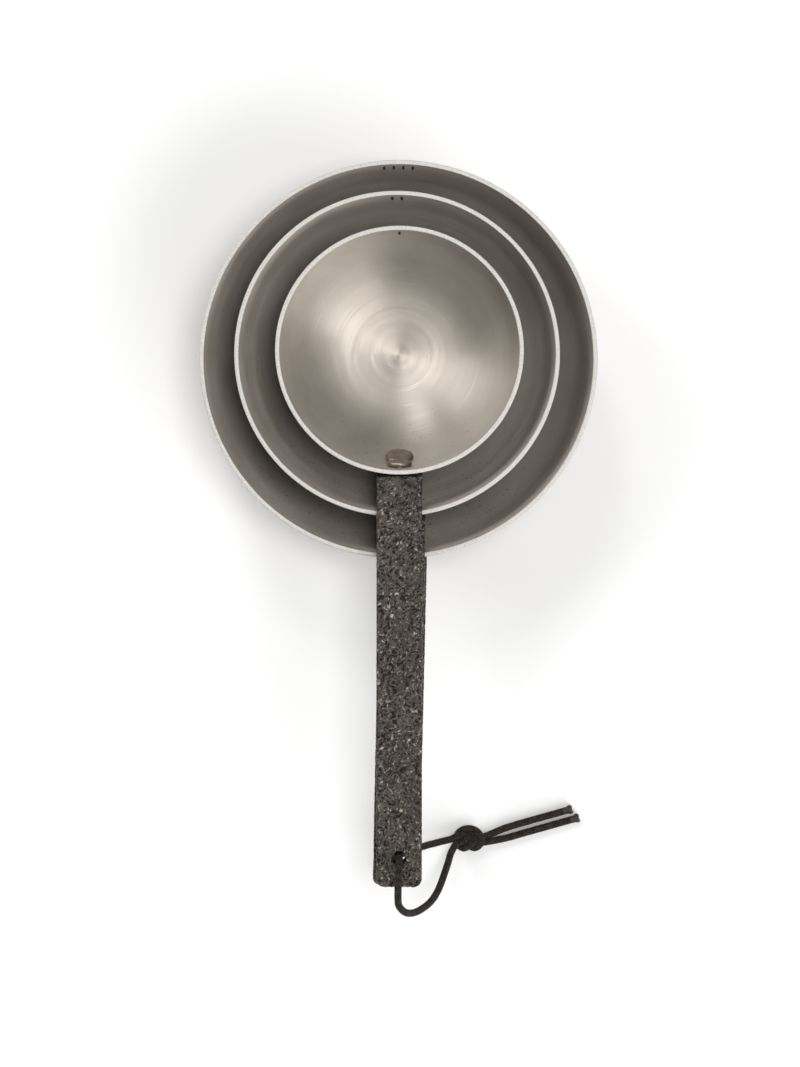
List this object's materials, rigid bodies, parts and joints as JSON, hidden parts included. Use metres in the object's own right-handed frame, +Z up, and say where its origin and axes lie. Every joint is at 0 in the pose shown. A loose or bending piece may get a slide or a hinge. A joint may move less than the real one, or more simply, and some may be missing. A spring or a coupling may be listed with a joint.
{
  "type": "nested measuring scoop set",
  "caption": "Nested round steel measuring scoops with riveted flat iron handles, held together by a knotted braided cord through the handle ends.",
  "frame": {"origin": "centre of the large scoop's flat base, on the surface it stands on", "axes": "+Z up out of the bowls, handles run towards -Y, +X to the right when seen from above with the handles pointing down"},
  "size_m": [0.0832, 0.1578, 0.0355],
  "materials": {
    "bowl_steel": "turned stainless steel with concentric marks, satin",
    "handle_iron": "rough wrinkled cast iron, dark",
    "rivet_iron": "dark oxidised rivet heads, slightly burnished",
    "cord_fabric": "black braided cord, matt",
    "cord_tip": "cut ends melted hard, slightly glossy"
  },
  "bodies": {
    "large_scoop": {"large_bowl": "bowl_steel", "large_handle": "handle_iron", "large_rivet_upper": "rivet_iron", "large_rivet_lower": "rivet_iron", "cord_loop": "cord_fabric", "cord_knot": "cord_fabric", "cord_tail_inner": "cord_fabric", "cord_tail_outer": "cord_fabric", "cord_tip_inner": "cord_tip", "cord_tip_outer": "cord_tip"},
    "middle_scoop": {"middle_bowl": "bowl_steel", "middle_handle": "handle_iron", "middle_rivet_upper": "rivet_iron", "middle_rivet_lower": "rivet_iron"},
    "small_scoop": {"small_bowl": "bowl_steel", "small_handle": "handle_iron", "small_rivet_upper": "rivet_iron", "small_rivet_lower": "rivet_iron"}
  },
  "joints": [
    {"name": "middle_scoop_swing", "type": "hinge", "parent": "large_scoop", "child": "middle_scoop", "pos_m": [0.0001, -0.1102, 0.02771], "axis": [1, 0, 0], "range_deg": [0, 30]},
    {"name": "small_scoop_swing", "type": "hinge", "parent": "middle_scoop", "child": "small_scoop", "pos_m": [0.0001, -0.1102, 0.02771], "axis": [1, 0, 0], "range_deg": [0, 30]}
  ]
}
